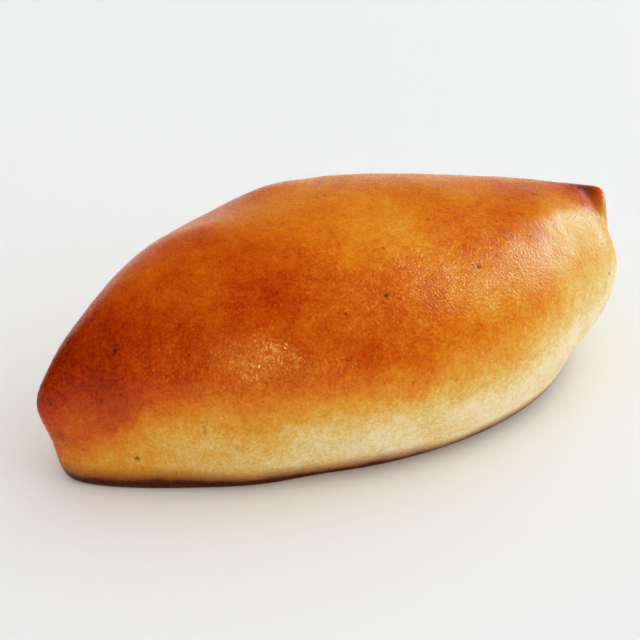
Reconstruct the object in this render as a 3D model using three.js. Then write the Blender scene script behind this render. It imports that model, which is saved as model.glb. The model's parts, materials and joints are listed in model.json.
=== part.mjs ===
// Piroshki: one baked, closed bun in the shape of a small boat, resting on its flat base.
// Millimetres, +Z up, +X along the length towards the far nose, origin at the middle of the base.

import * as THREE from 'three';
import { mergeVertices } from 'three/addons/utils/BufferGeometryUtils.js';

// Driving dimensions of the bun
const LENGTH = 119;
const WIDTH = 66;
const HEIGHT = 39;
const NEAR_NOSE_HEIGHT = 15.5;
const FAR_NOSE_HEIGHT = 26.2;
const NEAR_NOSE_RADIUS = 1.8;
const BELLY_HEIGHT = 16;
const BELLY_STATION = 6;
const CREST_STATION = -1;

// The dough sags below the table by this much before the table presses it flat
const SAG = 11.5;
// Height over which the pressed base turns up into the flank
const BASE_EDGE = 2;

// Fullness of each outline towards its two noses: a high body power keeps it full for longer,
// and an end power below 1 makes the nose blunt, above 1 pointed
const PLAN_NEAR = { body: 2, end: 1 };
const PLAN_FAR = { body: 1.87, end: 0.74 };
const CREST_NEAR = { body: 2.26, end: 0.58 };
const CREST_FAR = { body: 1.39, end: 1.1 };

// How late the keel climbs from the table to each nose, and how late the belly line follows it
const KEEL_CLIMB = { near: 9, far: 5 };
const BELLY_CLIMB = { near: 4, far: 5.5 };

// Soft swellings (rise above zero) and hollows (below zero) of the risen dough
const SWELLINGS = {
  nearLobe: { at: [-30, 4, 35], reach: 14, rise: 1 },
  backShoulder: { at: [-4, 15, 36], reach: 6, rise: 0.8 },
  backHollow: { at: [-17, 14, 34], reach: 10, rise: -1.2 },
  nearFrontShoulder: { at: [-28, -19, 28], reach: 11, rise: 0.4 },
  farFrontShoulder: { at: [20, -22, 30], reach: 13, rise: 0.5 },
  frontSaddle: { at: [-6, -22, 32], reach: 9, rise: -0.5 },
  farFlankFront: { at: [48, -18, 20.5], reach: 8.5, rise: 3.3 },
  farFlankBack: { at: [48, 17, 20], reach: 9, rise: 1.6 },
  farCornerFront: { at: [45, -22, 12], reach: 7, rise: 1.4 },
  farCornerBack: { at: [46, 22, 14], reach: 7, rise: 0.7 },
  farUndercutFront: { at: [43, -20, 5], reach: 7, rise: -0.8 },
  farFacet: { at: [45.6, -15.3, 26.3], reach: 6.7, rise: -0.9 },
  farLobe: { at: [42.2, -11, 29.5], reach: 5, rise: 0.25 },
  nearBack: { at: [-42, 11, 26], reach: 13, rise: -0.7 },
  nearStem: { at: [-58, -1, 8], reach: 5, rise: -0.9 },
  frontFoot: { at: [-29, -19, 0], reach: 7, rise: 0.4 },
  frontFootHollow: { at: [-18, -25, 1], reach: 7, rise: -0.5 },
  nub: { at: [58, -2, 23], reach: 3.2, rise: 0.4 },
};

// Folds of the pinched far end: grooves (depth above zero) and ridges (below zero)
const FOLDS = {
  nubFront: { from: [55.6, -0.5, 28], to: [54.5, -11, 23], width: 1.6, depth: 1.5 },
  nubBack: { from: [55, 4.5, 26.5], to: [53.5, 13, 17], width: 1.7, depth: 1 },
  seam: { from: [58, -1, 24], to: [50.5, 0, 4], width: 4, depth: -2.2 },
  farRidge: { from: [51, 0, 28.1], to: [17.2, -26, 33], width: 6, depth: -0.77 },
};

// Fineness of the surface, and how evenly the stations are spaced (0 crowds them at the noses, 1 is even)
const STATIONS = 72;
const SECTION_SIDES = 72;
const STATION_EVENNESS = 0.35;

const CRUST_COLOUR = 0xc8701e;
const CRUST_ROUGHNESS = 0.4;

const HALF_LENGTH = LENGTH / 2;

/** Share of its full size that an outline has at x, from 1 at its fullest station to 0 at a nose. */
function fullness(x, station, near, far) {
  const ahead = x > station;
  const run = ahead ? HALF_LENGTH - station : HALF_LENGTH + station;
  const { body, end } = ahead ? far : near;
  const reach = Math.min(Math.abs(x - station) / run, 1);
  return (1 - reach ** body) ** end;
}

/** Half width of the round bow at x, which fades out a few radii behind the near nose. */
function bowAt(x) {
  const run = x + HALF_LENGTH;
  return Math.sqrt(2 * NEAR_NOSE_RADIUS * run) * Math.exp(-run / (3 * NEAR_NOSE_RADIUS));
}

/** Half width and the three heights (keel, belly, crest) of the risen dough at one station. */
function sectionAt(share) {
  const x = share * HALF_LENGTH;
  const end = share < 0 ? 'near' : 'far';
  const noseHeight = share < 0 ? NEAR_NOSE_HEIGHT : FAR_NOSE_HEIGHT;
  const crestFoot = x < CREST_STATION ? NEAR_NOSE_HEIGHT : FAR_NOSE_HEIGHT;
  const climb = Math.abs(share) ** KEEL_CLIMB[end];
  const follow = Math.abs(share) ** BELLY_CLIMB[end];
  const crest = crestFoot + (HEIGHT - crestFoot) * fullness(x, CREST_STATION, CREST_NEAR, CREST_FAR);
  const keel = noseHeight * climb - SAG * (1 - climb);
  const belly = BELLY_HEIGHT + (noseHeight - BELLY_HEIGHT) * follow;
  return {
    x,
    keel,
    crest,
    belly: THREE.MathUtils.clamp(belly, keel, crest),
    halfWidth: Math.hypot((WIDTH / 2) * fullness(x, BELLY_STATION, PLAN_NEAR, PLAN_FAR), bowAt(x)),
  };
}

/** Place of a sphere's ring along the bun, from -1 at the near nose to 1 at the far nose. */
function stationShare(cosine) {
  const even = 1 - (2 * Math.acos(cosine)) / Math.PI;
  return THREE.MathUtils.lerp(cosine, even, STATION_EVENNESS);
}

/** The risen dough: a sphere drawn out along X, each ring two half ellipses that meet at the belly. */
function risenDough() {
  const dough = new THREE.SphereGeometry(1, SECTION_SIDES, STATIONS);
  const position = dough.attributes.position;
  for (let i = 0; i < position.count; i += 1) {
    const section = sectionAt(stationShare(position.getY(i)));
    const angle = Math.atan2(position.getX(i), position.getZ(i));
    const up = Math.sin(angle);
    const limb = up > 0 ? section.crest - section.belly : section.belly - section.keel;
    position.setXYZ(i, section.x, section.halfWidth * Math.cos(angle), section.belly + limb * up);
  }
  dough.deleteAttribute('normal');
  dough.deleteAttribute('uv');
  return mergeVertices(dough);
}

/** Rise of the surface at a point from the swellings, a soft mound each. */
function swellingAt(point) {
  let rise = 0;
  for (const swelling of Object.values(SWELLINGS)) {
    const far = point.distanceTo(new THREE.Vector3(...swelling.at)) / swelling.reach;
    rise += swelling.rise * Math.exp(-far * far);
  }
  return rise;
}

/** Depth of the surface at a point from the folds, a soft groove or ridge each that fades at both ends. */
function foldAt(point) {
  let depth = 0;
  const nearest = new THREE.Vector3();
  for (const fold of Object.values(FOLDS)) {
    const run = new THREE.Line3(new THREE.Vector3(...fold.from), new THREE.Vector3(...fold.to));
    const along = run.closestPointToPointParameter(point, true);
    const far = point.distanceTo(run.at(along, nearest)) / fold.width;
    depth += fold.depth * Math.sin(Math.PI * along) * Math.exp(-far * far);
  }
  return depth;
}

/** Height after the table has pressed the base flat, with a soft edge. */
function pressed(z) {
  if (z <= -BASE_EDGE) {
    return 0;
  }
  return z >= BASE_EDGE ? z : (z + BASE_EDGE) ** 2 / (4 * BASE_EDGE);
}

/** The bun: risen dough with its swellings and folds, pressed flat below and centred on the origin. */
function bunGeometry() {
  const bun = risenDough();
  bun.computeVertexNormals();
  const position = bun.attributes.position;
  const normal = bun.attributes.normal;
  const point = new THREE.Vector3();
  const outward = new THREE.Vector3();
  for (let i = 0; i < position.count; i += 1) {
    point.fromBufferAttribute(position, i);
    outward.fromBufferAttribute(normal, i);
    point.addScaledVector(outward, swellingAt(point) - foldAt(point));
    position.setXYZ(i, point.x, point.y, pressed(point.z));
  }
  bun.computeBoundingBox();
  const middle = bun.boundingBox.getCenter(new THREE.Vector3());
  bun.translate(-middle.x, -middle.y, 0);
  bun.computeVertexNormals();
  return bun;
}

/** Egg-washed crust, baked orange brown. */
function crustMaterial() {
  return new THREE.MeshStandardMaterial({
    color: CRUST_COLOUR,
    roughness: CRUST_ROUGHNESS,
    metalness: 0,
  });
}

const piroshki = new THREE.Group();
const bun = new THREE.Mesh(bunGeometry(), crustMaterial());
bun.name = 'bun';
piroshki.add(bun);

export default piroshki;
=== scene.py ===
"""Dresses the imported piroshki: a boat-shaped, egg-washed bun on a pale floor, in soft studio light.

Sizes of the bun are in millimetres and are turned into metres where they meet Blender. The bun lies along X,
its bow-like near nose at -X and its pinched far nose at +X, and shows its front (-Y) to the camera.
"""

from __future__ import annotations

import json
import logging
import math
from collections.abc import Sequence
from dataclasses import dataclass, replace
from enum import Enum
from typing import Any

import bmesh
import bpy
from mathutils import Color, Matrix, Vector, geometry, kdtree, noise

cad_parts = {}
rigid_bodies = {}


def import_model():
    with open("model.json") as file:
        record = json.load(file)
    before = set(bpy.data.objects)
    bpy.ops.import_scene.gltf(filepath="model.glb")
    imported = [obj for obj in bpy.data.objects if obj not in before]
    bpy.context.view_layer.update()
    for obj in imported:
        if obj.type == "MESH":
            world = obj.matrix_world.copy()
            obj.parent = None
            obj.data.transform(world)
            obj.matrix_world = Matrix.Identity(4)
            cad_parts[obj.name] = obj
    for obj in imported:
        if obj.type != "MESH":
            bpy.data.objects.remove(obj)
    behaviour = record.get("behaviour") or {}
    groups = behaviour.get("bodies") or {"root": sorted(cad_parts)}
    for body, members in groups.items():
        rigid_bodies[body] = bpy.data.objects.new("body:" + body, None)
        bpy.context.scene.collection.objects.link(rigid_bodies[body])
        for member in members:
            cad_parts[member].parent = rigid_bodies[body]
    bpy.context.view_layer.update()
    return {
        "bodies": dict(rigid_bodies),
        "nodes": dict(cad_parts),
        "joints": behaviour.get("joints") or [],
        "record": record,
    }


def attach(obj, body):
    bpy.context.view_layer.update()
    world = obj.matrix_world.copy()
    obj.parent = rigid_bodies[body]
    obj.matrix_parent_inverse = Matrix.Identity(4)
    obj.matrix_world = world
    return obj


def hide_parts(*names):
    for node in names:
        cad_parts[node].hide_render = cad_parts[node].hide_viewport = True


MM = 0.001
LOG = logging.getLogger("piroshki")

# How many of its own widths the shaping of a pore or crease reaches to each side
MARK_REACH = 3.0

Span = tuple[float, float]
Triple = tuple[float, float, float]
Shade = tuple[float, float, float, float]
Socket = bpy.types.NodeSocket


def linear(code: int) -> Shade:
    """Turns a colour as seen on a screen into the linear one that shaders use.

    Args:
        code: The colour as 0xRRGGBB.

    Returns:
        Linear red, green, blue and an alpha of 1.
    """
    seen = Color([((code >> shift) & 0xFF) / 0xFF for shift in (16, 8, 0)])
    return *seen.from_srgb_to_scene_linear(), 1.0


def smooth_step(value: float, low: float, high: float) -> float:
    """Share from 0 at low to 1 at high, level at both ends."""
    share = min(max((value - low) / (high - low), 0.0), 1.0)
    return share * share * (3 - 2 * share)


def soft_share(point: Vector, middle: Sequence[float], reach: float) -> float:
    """Share that fades from 1 at a middle to about a third at its reach, and to nothing far outside it."""
    far = (point - Vector(middle)).length / reach
    return math.exp(-far * far)


class Tone(Enum):
    """Colours of the crust as it bakes, each with the bake level that it belongs to."""

    CREAM = (0.0, 0xF8EAC6)
    STRAW = (0.2, 0xEBCB7E)
    GOLD = (0.38, 0xE6A63A)
    AMBER = (0.54, 0xE28418)
    RUSSET = (0.7, 0xD25E0C)
    CHESTNUT = (0.86, 0xBC3C04)
    MAHOGANY = (1.0, 0x8A1E02)
    UMBER = (1.2, 0x551002)

    @property
    def level(self) -> float:
        """Bake level of the tone."""
        return self.value[0]

    @property
    def share(self) -> float:
        """Share of the darkest tone's bake level that the tone has."""
        return self.level / Tone.UMBER.level

    @property
    def colour(self) -> Shade:
        """Linear colour of the tone."""
        return linear(self.value[1])


class SkinLayer(Enum):
    """What the bun's skin stores at each of its points, for the finish to read."""

    # This layer holds painted shade and painted highlight besides the baking
    BAKE = "bake"
    # This layer also holds painted shade in the creases and pits, besides scorch
    SCORCH = "scorch"
    UNDER = "under"
    GLAZE = "glaze"
    GRAIN = "grain"


@dataclass(frozen=True)
class Patch:
    """A soft round area of the crust that is darker (above zero) or lighter (below zero): mostly baking,
    with painted shade at the near end and a painted highlight at the far end.
    """

    at: Triple
    reach: float
    bake: float

    def bake_and_painted_light_at(self, point: Vector) -> float:
        """Level that the patch adds at a point in millimetres."""
        return self.bake * soft_share(point, self.at, self.reach)


@dataclass(frozen=True)
class Glaze:
    """A place where the egg wash dried thick and glossy, over a finer or coarser grain than elsewhere."""

    at: Triple
    reach: float
    grain: float = 1.0
    gloss: float = 1.0

    def share_at(self, point: Vector) -> float:
        """Share of the place's gloss and grain, from 0 to 1, that a point in millimetres gets."""
        return soft_share(point, self.at, self.reach)


@dataclass(frozen=True)
class Fold:
    """A crease in the dough between two points, deepest in the middle and fading at both ends, its line
    darkened partly by scorch and partly by painted shade.
    """

    start: Triple
    end: Triple
    width: float
    depth: float
    scorch: float = 0.5

    def reaches(self, point: Vector) -> bool:
        """Whether a point in millimetres lies in the area that the fold shapes."""
        nearest, along = geometry.intersect_point_line(point, Vector(self.start), Vector(self.end))
        return 0 < along < 1 and (point - nearest).length < MARK_REACH * self.width

    def share_at(self, point: Vector) -> float:
        """Works out how much of the fold a point gets.

        Args:
            point: A point in millimetres.

        Returns:
            Share of the fold's depth, from 0 to 1.
        """
        nearest, along = geometry.intersect_point_line(point, Vector(self.start), Vector(self.end))
        if not 0 < along < 1:
            return 0.0
        return math.sin(math.pi * along) * soft_share(point, nearest, self.width)


@dataclass(frozen=True)
class Dent:
    """A shallow, soft hollow that flattens the skin."""

    at: Triple
    reach: float
    depth: float

    def depth_at(self, point: Vector) -> float:
        """Depth of the dent at a point in millimetres."""
        return self.depth * soft_share(point, self.at, self.reach)


@dataclass(frozen=True)
class Pore:
    """A small pit in the crust, its floor darkened partly by scorch and partly by painted shade."""

    at: Triple
    radius: float
    depth: float

    def reaches(self, point: Vector) -> bool:
        """Whether a point in millimetres lies in the area that the pore shapes."""
        return (point - Vector(self.at)).length < MARK_REACH * self.radius

    def share_at(self, point: Vector) -> float:
        """Share of the pore's depth, from 0 to 1, that a point in millimetres gets."""
        return soft_share(point, self.at, self.radius)


@dataclass(frozen=True)
class Ripple:
    """A soft unevenness of the skin, by the size of its waves and their height."""

    size: float
    height: float
    seed: float

    def rise_at(self, point: Vector) -> float:
        """Rise of the skin at a point in millimetres."""
        return self.height * noise.noise(point / self.size + Vector((self.seed, 0, 0)))


class NodeBench:
    """Adds, sets and joins the nodes of one material, world or node group."""

    # Places of the colour sockets on a Mix node, whose names aren't unique
    MIX_FIRST = 6
    MIX_SECOND = 7
    MIX_RESULT = 2

    def __init__(self, tree: bpy.types.NodeTree) -> None:
        """Takes over a node tree and empties it.

        Args:
            tree: The tree of a material, a world or a node group.
        """
        self.tree = tree
        tree.nodes.clear()

    def add(self, kind: str, inputs: dict[str | int, Any] | None = None, **settings: Any) -> bpy.types.Node:
        """Adds a node.

        Args:
            kind: The node's type name in Blender.
            inputs: Values or sockets for the node's inputs, by name or number.
            **settings: Values for the node's own properties.

        Returns:
            The new node.
        """
        node = self.tree.nodes.new(kind)
        for name, value in settings.items():
            setattr(node, name, value)
        for name, value in (inputs or {}).items():
            self.feed(node.inputs[name], value)
        return node

    def feed(self, socket: Socket, value: Any) -> None:
        """Joins an input to another node's socket, or sets it to a value.

        Args:
            socket: The input.
            value: The other socket, or the value.
        """
        if isinstance(value, Socket):
            self.tree.links.new(value, socket)
        else:
            socket.default_value = value

    def attribute(self, layer: SkinLayer) -> Socket:
        """Reads what the piece's skin stores in a layer."""
        return self.add("ShaderNodeAttribute", attribute_name=layer.value).outputs["Fac"]

    def maths(self, operation: str, first: Any, second: Any, third: Any = 0.0) -> Socket:
        """Adds one sum and returns its result."""
        node = self.add("ShaderNodeMath", {0: first, 1: second, 2: third}, operation=operation)
        return node.outputs["Value"]

    def ranged(self, value: Socket, source: Span, target: Span) -> Socket:
        """Maps a value smoothly from one range to another.

        Args:
            value: The socket to map.
            source: Value that gives the first target, and value that gives the second.
            target: The two results.

        Returns:
            The mapped value, which stays between the two results.
        """
        inputs = {
            "Value": value,
            "From Min": source[0],
            "From Max": source[1],
            "To Min": target[0],
            "To Max": target[1],
        }
        node = self.add("ShaderNodeMapRange", inputs, interpolation_type="SMOOTHSTEP")
        return node.outputs["Result"]

    def blend(self, share: Socket, first: Any, second: Any) -> Socket:
        """Mixes two colours.

        Args:
            share: Share of the second colour, from 0 to 1.
            first: The first colour or its socket.
            second: The second colour or its socket.

        Returns:
            The mixed colour.
        """
        inputs = {"Factor": share, self.MIX_FIRST: first, self.MIX_SECOND: second}
        node = self.add("ShaderNodeMix", inputs, data_type="RGBA")
        return node.outputs[self.MIX_RESULT]


@dataclass(frozen=True)
class Mottle:
    """Cloudy unevenness around zero, by the size of its clouds and the most that they add or take away."""

    size: float
    amount: float
    detail: float = 3.0
    group_name: str = "mottle"

    def group(self) -> bpy.types.NodeTree:
        """Finds or makes the node group that all mottling shares.

        Returns:
            A group with inputs Vector, Scale, Detail and Amount, and an output Value from -Amount to Amount.
        """
        found = bpy.data.node_groups.get(self.group_name)
        if found:
            return found
        tree = bpy.data.node_groups.new(self.group_name, "ShaderNodeTree")
        tree.interface.new_socket("Vector", in_out="INPUT", socket_type="NodeSocketVector")
        for name in ("Scale", "Detail", "Amount"):
            tree.interface.new_socket(name, in_out="INPUT", socket_type="NodeSocketFloat")
        tree.interface.new_socket("Value", in_out="OUTPUT", socket_type="NodeSocketFloat")
        bench = NodeBench(tree)
        source = bench.add("NodeGroupInput")
        inputs = {name: source.outputs[name] for name in ("Vector", "Scale", "Detail")}
        clouds = bench.add("ShaderNodeTexNoise", inputs)
        centred = bench.maths("MULTIPLY_ADD", clouds.outputs["Fac"], 2.0, -1.0)
        sized = bench.maths("MULTIPLY", centred, source.outputs["Amount"])
        bench.add("NodeGroupOutput", {"Value": sized})
        return tree

    def lay(self, bench: NodeBench, place: Socket) -> Socket:
        """Lays the mottling over a material.

        Args:
            bench: The material's bench.
            place: Coordinates in metres.

        Returns:
            The mottling's value.
        """
        scale = 1 / (self.size * MM)
        inputs = {"Vector": place, "Scale": scale, "Detail": self.detail, "Amount": self.amount}
        node = bench.add("ShaderNodeGroup", inputs, node_tree=self.group())
        return node.outputs["Value"]


@dataclass(frozen=True)
class CrustFinish:
    """Egg-washed crust: browned by its level of baking, which holds some painted shade and highlight,
    charred at the base with some painted contact shade, with specks and a fine grain.

    Heights and sizes are in millimetres. A pair of numbers holds the two ends of a smooth change.
    """

    name: str = "crust"

    # Mottling of the crust's level, stronger on lighter crust
    mottles: tuple[Mottle, ...] = (
        Mottle(size=17.0, amount=0.1, detail=1.0),
        Mottle(size=5.0, amount=0.07, detail=1.0),
        Mottle(size=1.6, amount=0.08, detail=1.0),
        Mottle(size=0.6, amount=0.1, detail=1.0),
        Mottle(size=0.33, amount=0.1, detail=1.0),
    )
    mottle_levels: Span = (0.65, 0.95)
    mottle_strengths: Span = (1.45, 0.95)

    # Toasted and charred edge of the base, its dark band partly painted contact shade: its height waves, and
    # leans up towards the near nose
    toast_colour: int = 0x96460F
    toast_height: float = 5.2
    toast_strength: float = 0.8
    char_and_contact_shade_colour: int = 0x460300
    char_and_contact_shade_height: float = 2.1
    char_and_contact_shade_strength: float = 0.98
    char_and_contact_shade_fade: Span = (0.6, 1.3)
    char_and_contact_shade_lean: float = 0.01
    edge_waves: tuple[Mottle, ...] = (
        Mottle(size=5.0, amount=0.8 * MM),
        Mottle(size=15.0, amount=1.0 * MM, detail=0.0),
    )

    # Unevenly browned underside
    under_colour: int = 0x8C4A18
    under_mottle: Mottle = Mottle(size=7.0, amount=1.0)
    under_levels: Span = (-0.6, 0.3)
    under_cover: Span = (0.45, 1.0)

    # Small dark specks, each of its own strength, and the dark of pores and folds, partly scorch and partly
    # painted shade in the pits and creases
    speck_colour: int = 0x6E2204
    speck_spacing: float = 4.2
    speck_radius: float = 0.5
    speck_core: float = 0.2
    speck_chances: Span = (0.45, 1.0)
    speck_strengths: Span = (0.0, 0.7)
    scorch_and_shade_colour: int = 0x4A0E02

    # Gloss of the egg wash, uneven from grain to grain
    satin_levels: Span = (0.2, 0.5)
    pale_roughness: float = 0.7
    crust_roughness: float = 0.3
    glaze_roughness: float = 0.18
    least_roughness: float = 0.1
    scorch_and_shade_dullness: float = 1.7
    gloss_grain: Mottle = Mottle(size=0.45, amount=0.34, detail=0.5)
    refraction: float = 1.45
    specular: float = 0.2

    # Fine relief of the egg wash, its amounts in millimetres
    grain: Mottle = Mottle(size=0.45, amount=0.055, detail=0.5)
    wrinkles: Mottle = Mottle(size=1.6, amount=0.02)
    relief_strength: float = 1.0

    # Light that passes through the crust
    subsurface: float = 0.05
    subsurface_radius: Triple = (1.0, 0.45, 0.2)
    subsurface_depth: float = 1.6

    def material(self) -> bpy.types.Material:
        """Makes the crust's material.

        Returns:
            A procedural material for a piece whose skin stores every layer.
        """
        material = bpy.data.materials.new(self.name)
        material.use_nodes = True
        bench = NodeBench(material.node_tree)
        place = bench.add("ShaderNodeTexCoord").outputs["Object"]
        bake = self._bake_and_painted_light_level(bench, place)
        inputs = {
            "Base Color": self._colour(bench, place, bake),
            "Roughness": self._roughness(bench, place, bake),
            "Normal": self._relief(bench, place),
            "IOR": self.refraction,
            "Specular IOR Level": self.specular,
            "Subsurface Weight": self.subsurface,
            "Subsurface Radius": self.subsurface_radius,
            "Subsurface Scale": self.subsurface_depth * MM,
        }
        shader = bench.add("ShaderNodeBsdfPrincipled", inputs)
        bench.add("ShaderNodeOutputMaterial", {"Surface": shader.outputs["BSDF"]})
        return material

    def _bake_and_painted_light_level(self, bench: NodeBench, place: Socket) -> Socket:
        """Mottles the level of baking, with the painted shade and highlight in it, in several sizes.

        Args:
            bench: The material's bench.
            place: Coordinates in metres.

        Returns:
            The mottled level of baking, painted shade and painted highlight.
        """
        level = bench.attribute(SkinLayer.BAKE)
        clouds = 0.0
        for mottle in self.mottles:
            clouds = bench.maths("ADD", mottle.lay(bench, place), clouds)
        strength = bench.ranged(level, self.mottle_levels, self.mottle_strengths)
        return bench.maths("ADD", level, bench.maths("MULTIPLY", clouds, strength))

    def _colour(self, bench: NodeBench, place: Socket, bake: Socket) -> Socket:
        """Lays the crust's colours over each other, the scorched and shaded marks last: the dark of pits,
        creases and the base's edge is partly painted shade.

        Args:
            bench: The material's bench.
            place: Coordinates in metres.
            bake: The mottled bake level.

        Returns:
            The finished colour.
        """
        colour = self._toned(bench, bake)
        colour = self._edge_char_and_shade(bench, place, colour)
        cover = bench.ranged(self.under_mottle.lay(bench, place), self.under_levels, self.under_cover)
        under = bench.maths("MULTIPLY", bench.attribute(SkinLayer.UNDER), cover)
        colour = bench.blend(under, colour, linear(self.under_colour))
        colour = bench.blend(self._specks(bench, place), colour, linear(self.speck_colour))
        return bench.blend(bench.attribute(SkinLayer.SCORCH), colour, linear(self.scorch_and_shade_colour))

    def _toned(self, bench: NodeBench, bake: Socket) -> Socket:
        """Colours the crust by its level of baking, painted shade and painted highlight.

        Args:
            bench: The material's bench.
            bake: The mottled bake level.

        Returns:
            The colour, between the tones on both sides of the level.
        """
        ramp = bench.add("ShaderNodeValToRGB", {"Fac": bench.maths("DIVIDE", bake, Tone.UMBER.level)})
        elements = ramp.color_ramp.elements
        tones = list(Tone)
        for tone in tones[len(elements):]:
            elements.new(tone.share)
        for element, tone in zip(elements, tones):
            element.position = tone.share
            element.color = tone.colour
        return ramp.outputs["Color"]

    def _edge_char_and_shade(self, bench: NodeBench, place: Socket, colour: Socket) -> Socket:
        """Toasts and chars the edge of the base, whose dark band is partly painted contact shade.

        Args:
            bench: The material's bench.
            place: Coordinates in metres.
            colour: The crust's colour.

        Returns:
            The colour with the edge on it.
        """
        across = bench.add("ShaderNodeSeparateXYZ", {"Vector": place})
        height = across.outputs["Z"]
        for wave in self.edge_waves:
            height = bench.maths("ADD", height, wave.lay(bench, place))
        lean = bench.maths("MULTIPLY", across.outputs["X"], self.char_and_contact_shade_lean)
        height = bench.maths("ADD", height, lean)
        toasted = (self.char_and_contact_shade_height * MM, self.toast_height * MM)
        toast = bench.ranged(height, toasted, (self.toast_strength, 0.0))
        colour = bench.blend(toast, colour, linear(self.toast_colour))
        # The char band is partly painted contact shade where the base meets the floor
        char_and_shade_heights = (self.char_and_contact_shade_fade[0] * self.char_and_contact_shade_height * MM, self.char_and_contact_shade_fade[1] * self.char_and_contact_shade_height * MM)
        char_and_shade = bench.ranged(height, char_and_shade_heights, (self.char_and_contact_shade_strength, 0.0))
        return bench.blend(char_and_shade, colour, linear(self.char_and_contact_shade_colour))

    def _specks(self, bench: NodeBench, place: Socket) -> Socket:
        """Strews small dark specks over the crust.

        Args:
            bench: The material's bench.
            place: Coordinates in metres.

        Returns:
            The mask of the specks.
        """
        inputs = {"Vector": place, "Scale": 1 / (self.speck_spacing * MM), "Randomness": 1.0}
        cells = bench.add("ShaderNodeTexVoronoi", inputs)
        radius = self.speck_radius / self.speck_spacing
        spot = bench.ranged(cells.outputs["Distance"], (self.speck_core * radius, radius), (1.0, 0.0))
        chance = bench.add("ShaderNodeSeparateColor", {"Color": cells.outputs["Color"]}).outputs["Red"]
        return bench.maths("MULTIPLY", spot, bench.ranged(chance, self.speck_chances, self.speck_strengths))

    def _roughness(self, bench: NodeBench, place: Socket, bake: Socket) -> Socket:
        """Makes the egg wash satin or glossy, grain by grain, and the pale flank and the scorched and shaded
        marks dull.

        Args:
            bench: The material's bench.
            place: Coordinates in metres.
            bake: The mottled bake level.

        Returns:
            The roughness.
        """
        satin = bench.ranged(bake, self.satin_levels, (self.pale_roughness, self.crust_roughness))
        glaze = bench.attribute(SkinLayer.GLAZE)
        gloss = bench.maths("MULTIPLY", glaze, self.crust_roughness - self.glaze_roughness)
        satin = bench.maths("SUBTRACT", satin, gloss)
        satin = bench.maths("ADD", satin, self.gloss_grain.lay(bench, place))
        satin = bench.maths("MAXIMUM", satin, self.least_roughness)
        dull = bench.maths("MULTIPLY", bench.attribute(SkinLayer.SCORCH), self.scorch_and_shade_dullness)
        return bench.maths("MAXIMUM", satin, dull)

    def _relief(self, bench: NodeBench, place: Socket) -> Socket:
        """Raises the fine grain and the small wrinkles of the egg wash.

        Args:
            bench: The material's bench.
            place: Coordinates in metres.

        Returns:
            The normal of the raised skin.
        """
        grain = bench.maths("MULTIPLY", self.grain.lay(bench, place), bench.attribute(SkinLayer.GRAIN))
        height = bench.maths("ADD", grain, self.wrinkles.lay(bench, place))
        inputs = {"Height": height, "Distance": MM, "Strength": self.relief_strength}
        return bench.add("ShaderNodeBump", inputs).outputs["Normal"]


@dataclass(frozen=True)
class FloorFinish:
    """Matt, nearly white floor: a painted glow, seen by the camera alone, lifts and warms its shadows, and
    its light on the bun is warm.
    """

    name: str = "floor"
    colour: int = 0xDFE9F1
    bounce_colour: int = 0xFAF7EE
    # Painted light: a glow that only the camera sees lifts and warms the floor's shadows; the colour above
    # is cooler so the lit floor stays white
    painted_glow_colour: int = 0x735D40
    bounce_painted_glow_colour: int = 0x000000
    painted_glow_strength: float = 1.0
    roughness: float = 0.9
    specular: float = 0.1

    def material(self) -> bpy.types.Material:
        """Makes the floor's material.

        Returns:
            A material with one colour and a painted glow for the camera, and others for the light it throws
            back.
        """
        material = bpy.data.materials.new(self.name)
        material.use_nodes = True
        bench = NodeBench(material.node_tree)
        seen = bench.add("ShaderNodeLightPath").outputs["Is Camera Ray"]
        inputs = {
            "Base Color": bench.blend(seen, linear(self.bounce_colour), linear(self.colour)),
            "Emission Color": bench.blend(seen, linear(self.bounce_painted_glow_colour), linear(self.painted_glow_colour)),
            "Emission Strength": self.painted_glow_strength,
            "Roughness": self.roughness,
            "Specular IOR Level": self.specular,
        }
        shader = bench.add("ShaderNodeBsdfPrincipled", inputs)
        bench.add("ShaderNodeOutputMaterial", {"Surface": shader.outputs["BSDF"]})
        return material


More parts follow.
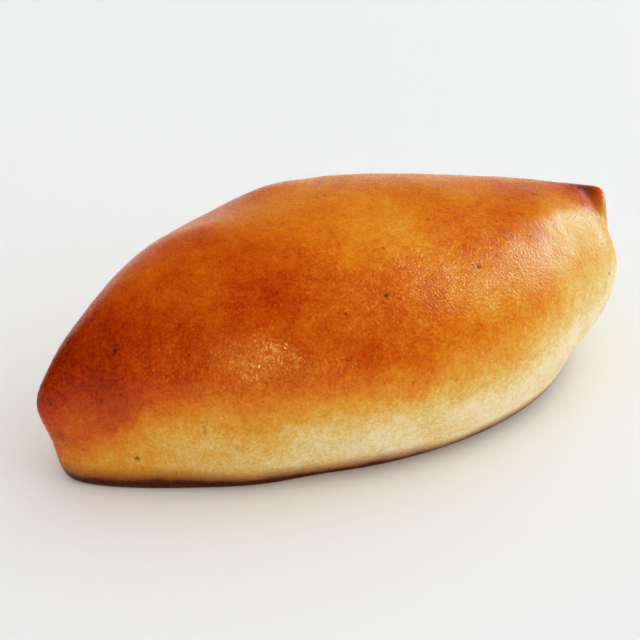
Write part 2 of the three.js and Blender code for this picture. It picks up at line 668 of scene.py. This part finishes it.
@dataclass
class Bun:
    """The bun: the solid's form, smoothed, with the relief of its skin and its level of baking, which holds
    some painted shade and painted highlight.

    Sizes and places are in millimetres. A pair of numbers holds the two ends of a smooth change.
    """

    node: str = "bun"
    body: str = "root"
    slot: str = "crust"
    name: str = "piroshki_bun"
    finish: CrustFinish = CrustFinish()

    # Fineness of the mesh: folds narrower than a crease and all pores get extra cuts
    smooth_levels: int = 2
    merge_distance: float = 0.001
    mark_cuts: int = 2
    crease_width: float = 1.0

    # Heights between which the base turns up into the flank, and how far inside that the underside browns
    foot_low: float = 0.6
    foot_high: float = 4.0
    under_inset: Span = (1.5, 10.0)

    # Middle and half width of the change from pale flank to brown top, and how it alters towards the noses
    pale_height: float = 16.5
    pale_width: float = 8.0
    near_pale_width: float = 5.6
    near_narrowing: Span = (30.0, 52.0)
    near_drop: float = 12.5
    near_dropping: Span = (44.0, 58.0)
    far_lift: float = 4.0
    far_lifting: Span = (5.0, 45.0)

    # Bake levels of top and flank, and their change for each millimetre towards the far nose: darker towards
    # the near nose, partly as painted shade
    top_bake: float = 0.64
    top_tilt_with_shade: float = -0.0016
    flank_bake: float = 0.09
    flank_tilt_with_shade: float = -0.0045
    least_bake: float = 0.05
    # Darkening of the pores' floors, partly scorch and partly painted shade in the pits
    pore_scorch_and_shade: float = 0.85

    ripples: tuple[Ripple, ...] = (
        Ripple(size=12.0, height=0.25, seed=3.7),
        Ripple(size=4.5, height=0.09, seed=11.2),
        Ripple(size=2.0, height=0.035, seed=23.9),
    )
    dents: tuple[Dent, ...] = (
        Dent(at=(-28.4, -21.6, 25.4), reach=4.2, depth=0.55),
    )
    folds: tuple[Fold, ...] = (
        # Each fold's dark line is partly scorch and partly painted shade in the crease
        Fold(start=(55.6, 4.0, 28.0), end=(55.4, -8.0, 23.8), width=1.8, depth=0.2, scorch=0.44),
        Fold(start=(-57.0, -2.2, 12.2), end=(-56.1, -2.8, 8.6), width=0.45, depth=0.35),
        Fold(start=(-37.8, -18.0, 15.4), end=(-37.5, -18.5, 11.4), width=0.35, depth=0.2, scorch=0.25),
        Fold(start=(-34.0, -20.4, 10.6), end=(-31.8, -21.6, 8.8), width=0.35, depth=0.2, scorch=0.2),
    )
    pores: tuple[Pore, ...] = (
        Pore(at=(15.4, -22.5, 31.7), radius=0.4, depth=0.3),
        Pore(at=(-4.5, -23.2, 31.6), radius=0.45, depth=0.2),
        Pore(at=(-2.0, 2.9, 38.5), radius=0.4, depth=0.2),
        Pore(at=(-47.4, -6.5, 26.0), radius=0.5, depth=0.2),
        Pore(at=(-46.8, -10.8, 6.9), radius=0.44, depth=0.35),
        Pore(at=(41.3, -3.1, 30.8), radius=0.45, depth=0.2),
    )
    patches: tuple[Patch, ...] = (
        # Near end
        # The broad darkening of the near end is partly baking and partly painted shade on the side turned
        # from the lights
        Patch(at=(-52.0, -3.0, 22.0), reach=22.0, bake=0.27),
        Patch(at=(-50.0, -8.0, 21.0), reach=7.0, bake=-0.06),
        Patch(at=(-54.0, -5.0, 13.0), reach=4.0, bake=-0.08),
        Patch(at=(-54.5, -4.0, 10.0), reach=6.5, bake=-0.18),
        Patch(at=(-42.0, -15.0, 18.0), reach=7.0, bake=-0.1),
        # Crest
        Patch(at=(-39.0, 0.0, 33.0), reach=9.0, bake=-0.08),
        Patch(at=(-32.0, -7.0, 35.5), reach=8.0, bake=-0.08),
        Patch(at=(-26.0, -4.0, 35.0), reach=15.0, bake=0.05),
        Patch(at=(-19.0, -6.0, 38.0), reach=6.0, bake=0.07),
        Patch(at=(-14.0, 5.0, 38.0), reach=9.0, bake=-0.08),
        Patch(at=(2.0, -9.0, 38.0), reach=15.0, bake=-0.12),
        Patch(at=(20.0, -13.5, 34.5), reach=8.0, bake=0.1),
        Patch(at=(32.0, -14.0, 31.0), reach=6.0, bake=0.06),
        # Front shoulder
        Patch(at=(-34.0, -20.0, 22.0), reach=5.0, bake=-0.09),
        Patch(at=(-33.0, -16.0, 29.0), reach=9.0, bake=0.05),
        Patch(at=(-20.7, -15.9, 33.4), reach=6.0, bake=0.15),
        Patch(at=(-9.0, -28.0, 25.0), reach=11.0, bake=0.08),
        Patch(at=(2.0, -32.0, 21.5), reach=6.0, bake=-0.1),
        Patch(at=(11.0, -27.0, 28.0), reach=9.0, bake=-0.06),
        Patch(at=(21.0, -30.0, 21.0), reach=5.0, bake=-0.06),
        Patch(at=(31.0, -22.0, 26.5), reach=7.0, bake=-0.15),
        # Pale flank
        Patch(at=(-36.0, -18.5, 6.0), reach=6.0, bake=-0.1),
        Patch(at=(-34.0, -21.0, 15.0), reach=5.0, bake=-0.06),
        Patch(at=(-32.0, -21.5, 10.5), reach=6.0, bake=0.1),
        Patch(at=(-21.0, -27.0, 13.0), reach=7.0, bake=-0.12),
        Patch(at=(0.0, -33.0, 15.0), reach=6.0, bake=0.08),
        Patch(at=(21.0, -31.0, 15.5), reach=6.0, bake=0.12),
        Patch(at=(36.0, -25.0, 12.0), reach=10.0, bake=0.1),
        Patch(at=(40.0, -22.5, 17.0), reach=7.0, bake=0.11),
        # Far end and its nub
        Patch(at=(42.0, -22.0, 22.0), reach=12.0, bake=-0.08),
        # Lighter crust where the far highlight lies, partly a painted highlight
        Patch(at=(42.0, -12.0, 28.5), reach=9.0, bake=-0.1),
        Patch(at=(43.0, -7.5, 31.0), reach=4.5, bake=-0.08),
        Patch(at=(41.0, -2.0, 31.0), reach=8.0, bake=0.13),
        Patch(at=(42.0, 2.0, 32.0), reach=5.0, bake=0.05),
        Patch(at=(52.0, -6.0, 27.0), reach=3.0, bake=0.16),
        Patch(at=(54.0, 2.0, 28.0), reach=4.5, bake=0.24),
        Patch(at=(56.3, -0.8, 26.7), reach=2.8, bake=0.32),
    )
    glazes: tuple[Glaze, ...] = (
        # Front
        Glaze(at=(36.0, -16.0, 29.0), reach=9.0, grain=0.5, gloss=0.4),
        Glaze(at=(46.0, -11.0, 27.6), reach=8.0, grain=0.5, gloss=0.3),
        Glaze(at=(12.0, -24.4, 30.5), reach=9.0, grain=1.8),
        Glaze(at=(-26.0, -21.9, 27.0), reach=3.2, grain=0.6),
        Glaze(at=(-30.7, -21.3, 23.7), reach=2.6, grain=0.6),
        # Back
        Glaze(at=(38.0, 16.0, 28.0), reach=10.0),
        Glaze(at=(4.0, 24.0, 31.0), reach=9.0, grain=1.8),
        Glaze(at=(-32.0, 15.0, 29.0), reach=6.0, grain=1.8),
    )

    def build(self, frame: dict[str, Any]) -> bpy.types.Object:
        """Args:
            frame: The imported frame.

        Returns:
            The finished piece.
        """
        mesh = self._smoothed(frame["nodes"][self.node].data)
        form = bmesh.new()
        form.from_mesh(mesh)
        self._settle_pores(form)
        self._refine_marks(form)
        self._bake(form)
        self._relieve(form)
        form.to_mesh(mesh)
        form.free()
        mesh.shade_smooth()
        piece = bpy.data.objects.new(self.name, mesh)
        bpy.context.scene.collection.objects.link(piece)
        mesh.materials.clear()
        mesh.materials.append(self.finish.material())
        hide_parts(self.node)
        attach(piece, self.body)
        return piece

    def _smoothed(self, solid: bpy.types.Mesh) -> bpy.types.Mesh:
        """Smooths a copy of the solid's facets.

        Args:
            solid: The solid's mesh.

        Returns:
            A new, finer mesh of four-sided faces.
        """
        form = bmesh.new()
        form.from_mesh(solid)
        bmesh.ops.remove_doubles(form, verts=form.verts, dist=self.merge_distance * MM)
        bmesh.ops.join_triangles(
            form, faces=form.faces, angle_face_threshold=math.pi, angle_shape_threshold=math.pi
        )
        coarse = bpy.data.meshes.new(self.name + "_coarse")
        form.to_mesh(coarse)
        form.free()
        holder = bpy.data.objects.new(self.name + "_coarse", coarse)
        bpy.context.scene.collection.objects.link(holder)
        smoothing = holder.modifiers.new("smoothing", "SUBSURF")
        smoothing.levels = self.smooth_levels
        smoothing.render_levels = self.smooth_levels
        view = bpy.context.evaluated_depsgraph_get()
        smooth = bpy.data.meshes.new_from_object(holder.evaluated_get(view), depsgraph=view)
        smooth.name = self.name
        bpy.data.objects.remove(holder)
        bpy.data.meshes.remove(coarse)
        return smooth

    def _settle_pores(self, form: bmesh.types.BMesh) -> None:
        """Moves each pore to the nearest point of the skin.

        Args:
            form: The smoothed bun.
        """
        skin = kdtree.KDTree(len(form.verts))
        for number, vert in enumerate(form.verts):
            skin.insert(vert.co / MM, number)
        skin.balance()
        self.pores = tuple(replace(pore, at=tuple(skin.find(pore.at)[0])) for pore in self.pores)

    def _refine_marks(self, form: bmesh.types.BMesh) -> None:
        """Divides the faces around each pore and narrow fold, so that enough points shape it.

        Args:
            form: The smoothed bun.
        """
        creases = tuple(fold for fold in self.folds if fold.width < self.crease_width)
        for mark in self.pores + creases:
            near = [e for e in form.edges if mark.reaches((e.verts[0].co + e.verts[1].co) / (2 * MM))]
            bmesh.ops.subdivide_edges(form, edges=near, cuts=self.mark_cuts, use_grid_fill=True)
        form.normal_update()

    def _bake(self, form: bmesh.types.BMesh) -> None:
        """Stores every layer of the skin, at each of its points, for the finish.

        Args:
            form: The bun, refined and not yet relieved.
        """
        layers = {layer: form.verts.layers.float.new(layer.value) for layer in SkinLayer}
        rim = self._rim(form)
        for vert in form.verts:
            point = vert.co / MM
            shares = [(place, place.share_at(point)) for place in self.glazes]
            vert[layers[SkinLayer.BAKE]] = self._bake_and_painted_light_at(point)
            vert[layers[SkinLayer.SCORCH]] = self._scorch_and_shade_at(point)
            vert[layers[SkinLayer.GLAZE]] = min(sum(place.gloss * share for place, share in shares), 1.0)
            vert[layers[SkinLayer.GRAIN]] = 1.0 + sum((place.grain - 1.0) * share for place, share in shares)
            if point.z < self.foot_low:
                inset = rim.find(point)[2]
                vert[layers[SkinLayer.UNDER]] = smooth_step(inset, *self.under_inset)

    def _rim(self, form: bmesh.types.BMesh) -> kdtree.KDTree:
        """Gathers the points of the flank's foot, to measure from.

        Args:
            form: The bun.

        Returns:
            A search tree of those points, in millimetres.
        """
        foot = [v.co / MM for v in form.verts if self.foot_low <= v.co.z / MM < self.foot_high]
        rim = kdtree.KDTree(len(foot))
        for number, point in enumerate(foot):
            rim.insert(point, number)
        rim.balance()
        return rim

    def _bake_and_painted_light_at(self, point: Vector) -> float:
        """Works out the crust's level: pale on the lower flank, brown above it, and the patches; mostly
        baking, with painted shade at the near end and a painted highlight at the far end.

        Args:
            point: A point in millimetres.

        Returns:
            The level there.
        """
        middle = self.pale_height
        middle -= self.near_drop * smooth_step(-point.x, *self.near_dropping)
        middle += self.far_lift * smooth_step(point.x, *self.far_lifting)
        narrowed = smooth_step(-point.x, *self.near_narrowing)
        width = self.pale_width + (self.near_pale_width - self.pale_width) * narrowed
        risen = smooth_step(point.z, middle - width, middle + width)
        flank = self.flank_bake + self.flank_tilt_with_shade * point.x
        top = self.top_bake + self.top_tilt_with_shade * point.x
        level = flank + (top - flank) * risen
        return max(level + sum(patch.bake_and_painted_light_at(point) for patch in self.patches), self.least_bake)

    def _scorch_and_shade_at(self, point: Vector) -> float:
        """Works out the darkening of the pores' floors and the folds' lines, partly scorch and partly
        painted shade.

        Args:
            point: A point in millimetres.

        Returns:
            The darkening there, from 0 to 1.
        """
        pits = max(self.pore_scorch_and_shade * pore.share_at(point) for pore in self.pores)
        lines = max(fold.scorch * fold.share_at(point) for fold in self.folds)
        return max(pits, lines)

    def _relieve(self, form: bmesh.types.BMesh) -> None:
        """Moves every point along its normal by the skin's relief, and keeps the base on the floor.

        Args:
            form: The bun.
        """
        moves = []
        for vert in form.verts:
            point = vert.co / MM
            free = smooth_step(point.z, self.foot_low, self.foot_high)
            rise = free * sum(ripple.rise_at(point) for ripple in self.ripples)
            rise -= sum(dent.depth_at(point) for dent in self.dents)
            rise -= sum(fold.depth * fold.share_at(point) for fold in self.folds)
            rise -= sum(pore.depth * pore.share_at(point) for pore in self.pores)
            moves.append(vert.normal * rise * MM)
        for vert, move in zip(form.verts, moves):
            vert.co += move
            vert.co.z = max(vert.co.z, 0.0)
        form.normal_update()


def facing(target: Vector, azimuth: float, elevation: float, distance: float) -> Matrix:
    """Place of a camera or light that faces a target.

    Args:
        target: The point that is faced, in metres.
        azimuth: Bearing in degrees, 0 at the front (-Y) and 90 at the far nose (+X).
        elevation: Height above the floor in degrees.
        distance: Distance from the target in metres.

    Returns:
        The matrix that puts it there, looking along its own -Z.
    """
    bearing, height = math.radians(azimuth), math.radians(elevation)
    level = math.cos(height)
    back = Vector((math.sin(bearing) * level, -math.cos(bearing) * level, math.sin(height)))
    turn = back.to_track_quat("Z", "Y")
    return Matrix.Translation(target + back * distance) @ turn.to_matrix().to_4x4()


class LightUse(Enum):
    """What a soft light is there for."""

    GLINT = "shows in the gloss alone"
    FILL = "lights the crust and the floor alone"


@dataclass(frozen=True)
class SoftLight:
    """A soft rectangular light, in metres, aimed at the bun from a bearing and a height above the floor."""

    name: str
    use: LightUse
    azimuth: float
    elevation: float
    width: float
    height: float
    power: float
    colour: Triple = (1.0, 1.0, 1.0)
    distance: float = 1.3

    @classmethod
    def wall(cls, name: str, azimuth: float, power: float) -> SoftLight:
        """One wall of the tent of light that stands around the bun."""
        return cls(name, LightUse.FILL, azimuth, elevation=27.0, width=1.9, height=1.24, power=power)

    @classmethod
    def lamp(cls, name: str, azimuth: float, elevation: float, power: float) -> SoftLight:
        """A small lamp that sparkles on the near shoulder."""
        form = {"width": 0.09, "height": 0.09, "colour": (0.9, 1.0, 0.25)}
        return cls(name, LightUse.GLINT, azimuth, elevation, power=power, **form)

    def build(self, target: Vector) -> None:
        """Makes the light.

        Args:
            target: The point that the light faces, in metres.
        """
        lamp = bpy.data.lights.new(self.name, "AREA")
        lamp.shape = "RECTANGLE"
        lamp.size = self.width
        lamp.size_y = self.height
        lamp.energy = self.power
        lamp.color = self.colour
        # Rays that meet a filling light by chance would show it in the gloss as a veil
        lamp.cycles.use_multiple_importance_sampling = self.use is LightUse.GLINT
        light = bpy.data.objects.new(self.name, lamp)
        light.visible_glossy = self.use is LightUse.GLINT
        light.visible_diffuse = self.use is LightUse.FILL
        bpy.context.scene.collection.objects.link(light)
        light.matrix_world = facing(target, self.azimuth, self.elevation, self.distance)


@dataclass
class Studio:
    """The pale floor, the soft light around the bun and the camera.

    The floor's size and the lights are in metres, the floor's drop and the camera in millimetres.
    """

    floor_size: float = 6.0
    floor_drop: float = 0.02
    floor_finish: FloorFinish = FloorFinish()
    sky_colour: int = 0xFFFFFF
    sky_strength: float = 0.8
    camera_azimuth: float = -32.81
    camera_elevation: float = 28.0
    camera_distance: float = 460.0
    camera_target: Triple = (-2.99, 0.0, 16.17)
    camera_lens: float = 145.44
    camera_sensor: float = 36.0
    camera_nearest: float = 10.0
    lights: tuple[SoftLight, ...] = (
        SoftLight(
            name="window",
            use=LightUse.GLINT,
            azimuth=101.0,
            elevation=16.0,
            width=0.62,
            height=0.26,
            power=7.9,
            colour=(0.4, 1.0, 1.0),
        ),
        SoftLight(
            name="skylight",
            use=LightUse.GLINT,
            azimuth=78.0,
            elevation=44.0,
            width=0.28,
            height=0.22,
            power=5.0,
            colour=(0.6, 1.0, 0.9),
        ),
        SoftLight.lamp(name="high_lamp", azimuth=-25.0, elevation=29.0, power=3.0),
        SoftLight.lamp(name="low_lamp", azimuth=-20.0, elevation=17.0, power=2.8),
        SoftLight(
            name="backdrop",
            use=LightUse.GLINT,
            azimuth=162.0,
            elevation=13.0,
            width=0.9,
            height=0.4,
            power=0.34,
        ),
        SoftLight(
            name="roof",
            use=LightUse.FILL,
            azimuth=0.0,
            elevation=90.0,
            width=2.0,
            height=2.0,
            power=11.6,
        ),
        SoftLight.wall(name="front_wall", azimuth=15.0, power=9.6),
        SoftLight.wall(name="right_wall", azimuth=100.0, power=10.8),
        SoftLight.wall(name="back_wall", azimuth=190.0, power=5.6),
        SoftLight.wall(name="left_wall", azimuth=285.0, power=4.2),
    )

    def build(self) -> None:
        """Builds the floor, the sky, the lights and the camera."""
        bpy.context.scene.view_settings.view_transform = "Standard"
        self._lay_floor()
        self._light()
        self._place_camera()

    def _lay_floor(self) -> None:
        """Lays the floor just under the bun's base."""
        form = bmesh.new()
        bmesh.ops.create_grid(form, x_segments=1, y_segments=1, size=self.floor_size / 2)
        bmesh.ops.translate(form, verts=form.verts, vec=(0.0, 0.0, -self.floor_drop * MM))
        mesh = bpy.data.meshes.new("floor")
        form.to_mesh(mesh)
        form.free()
        mesh.materials.append(self.floor_finish.material())
        floor = bpy.data.objects.new("floor", mesh)
        bpy.context.scene.collection.objects.link(floor)

    def _light(self) -> None:
        """Hangs up the soft lights, and a pale sky that lights nothing and only shows past the floor."""
        world = bpy.data.worlds.new("studio")
        world.use_nodes = True
        bench = NodeBench(world.node_tree)
        inputs = {"Color": linear(self.sky_colour), "Strength": self.sky_strength}
        sky = bench.add("ShaderNodeBackground", inputs)
        bench.add("ShaderNodeOutputWorld", {"Surface": sky.outputs["Background"]})
        world.cycles_visibility.glossy = False
        world.cycles_visibility.diffuse = False
        bpy.context.scene.world = world
        for light in self.lights:
            light.build(Vector(self.camera_target) * MM)

    def _place_camera(self) -> None:
        """Places the camera at the photograph's viewing angle."""
        lens = bpy.data.cameras.new("camera")
        lens.lens = self.camera_lens
        lens.sensor_width = self.camera_sensor
        lens.clip_start = self.camera_nearest * MM
        camera = bpy.data.objects.new("camera", lens)
        bpy.context.scene.collection.objects.link(camera)
        camera.matrix_world = facing(
            Vector(self.camera_target) * MM,
            self.camera_azimuth,
            self.camera_elevation,
            self.camera_distance * MM,
        )
        bpy.context.scene.camera = camera


def main() -> None:
    """Builds the studio and the bun."""
    logging.basicConfig(level=logging.INFO, format="%(name)s: %(message)s")
    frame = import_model()
    Studio().build()
    bun = Bun().build(frame)


if __name__ == "__main__":
    main()
